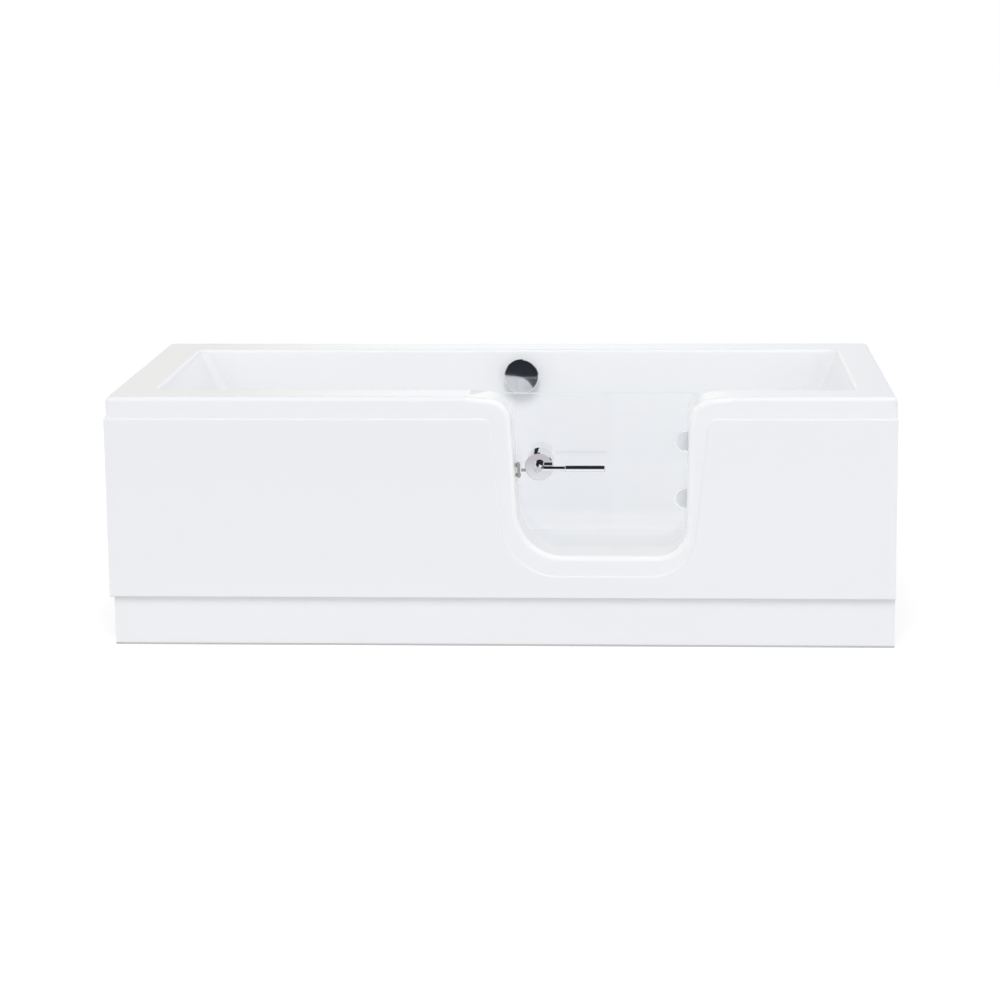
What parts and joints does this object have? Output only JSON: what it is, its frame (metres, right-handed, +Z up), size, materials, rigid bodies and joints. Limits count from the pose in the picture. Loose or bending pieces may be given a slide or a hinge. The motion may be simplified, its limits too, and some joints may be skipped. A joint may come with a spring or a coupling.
{
  "type": "bathtub with glass door",
  "caption": "Rectangular white bathtub with a front panel and a glass door in its front wall that swings inwards, with lever latch, overflow and waste.",
  "frame": {"origin": "on the floor under the middle of the tub", "axes": "+X along the tub to the right, +Z up; the side with the door faces -Y"},
  "size_m": [1.7, 0.75, 0.55],
  "materials": {
    "shell_acrylic": "gloss",
    "panel_acrylic": "gloss",
    "board": "matt",
    "batten": "matt",
    "clip_plastic": "matt",
    "zinc_steel": "satin",
    "frame_paint": "satin",
    "cap_plastic": "satin",
    "seal_rubber": "satin",
    "keeper_metal": "satin",
    "hinge_chrome": "polished",
    "pad_plastic": "matt",
    "door_glass": "polished",
    "handle_chrome": "polished",
    "spindle_steel": "satin",
    "gasket_rubber": "matt",
    "drain_chrome": "polished",
    "drain_plastic": "satin",
    "nut_plastic": "satin"
  },
  "bodies": {
    "tub": {"tub_shell": "shell_acrylic", "base_board": "board", "rim_battens": "batten", "sill_batten": "batten", "front_panel": "panel_acrylic", "plinth": "panel_acrylic", "plinth_clips": "clip_plastic", "panel_brackets": "zinc_steel", "panel_rests": "zinc_steel", "rail_front": "frame_paint", "rail_back": "frame_paint", "cross_rails": "frame_paint", "uprights": "frame_paint", "sill_upright": "frame_paint", "rail_caps": "cap_plastic", "foot_stems": "zinc_steel", "foot_nuts": "zinc_steel", "foot_pads": "clip_plastic", "wall_brackets": "zinc_steel", "bracket_screws": "zinc_steel", "door_seal": "seal_rubber", "keeper_plate": "keeper_metal", "keeper_screws": "keeper_metal", "hinge_leaves": "hinge_chrome", "hinge_pins": "hinge_chrome", "hinge_screws": "hinge_chrome", "overflow_body": "drain_plastic", "overflow_gasket": "gasket_rubber", "overflow_nut": "drain_plastic", "overflow_collar": "drain_chrome", "overflow_hose": "drain_plastic", "hose_nuts": "nut_plastic", "control_cable": "cap_plastic", "waste_flange": "drain_chrome", "waste_gasket": "gasket_rubber", "waste_body": "drain_plastic", "trap": "drain_plastic", "trap_nuts": "nut_plastic", "outlet_pipe": "drain_plastic", "outlet_socket": "drain_plastic"},
    "door": {"door_glass": "door_glass", "hinge_arms": "hinge_chrome", "hinge_pads": "pad_plastic", "lock_case": "handle_chrome", "case_gasket": "gasket_rubber", "inner_gasket": "gasket_rubber", "inner_rose": "handle_chrome"},
    "handle": {"lever": "handle_chrome", "lever_grip": "handle_chrome", "spindle": "spindle_steel", "inner_turn": "handle_chrome"},
    "bolt": {"latch_bolt": "keeper_metal"},
    "dial": {"overflow_dial": "drain_chrome", "dial_spindle": "spindle_steel"},
    "plug": {"waste_plug": "drain_chrome", "plug_seal": "gasket_rubber"}
  },
  "joints": [
    {"name": "door_hinge", "type": "hinge", "parent": "tub", "child": "door", "pos_m": [0.448, -0.24, 0.37], "axis": [0, 0, -1], "range_deg": [0, 90]},
    {"name": "handle_turn", "type": "hinge", "parent": "door", "child": "handle", "pos_m": [0.085, -0.349, 0.39], "axis": [0, -1, 0], "range_deg": [0, 90]},
    {"name": "bolt_slide", "type": "slide", "parent": "door", "child": "bolt", "axis": [-1, 0, 0], "range_m": [0, 0.008]},
    {"name": "dial_turn", "type": "hinge", "parent": "tub", "child": "dial", "pos_m": [0.019, 0.26126, 0.487], "axis": [0, -0.9905, 0.1374], "range_deg": [0, 120]},
    {"name": "plug_lift", "type": "slide", "parent": "tub", "child": "plug", "axis": [0, 0, 1], "range_m": [0, 0.01]}
  ],
  "couplings": [
    {"joint": "bolt_slide", "follows": "handle_turn", "m_per_rad": 0.0050929},
    {"joint": "plug_lift", "follows": "dial_turn", "m_per_rad": 0.0047746}
  ]
}
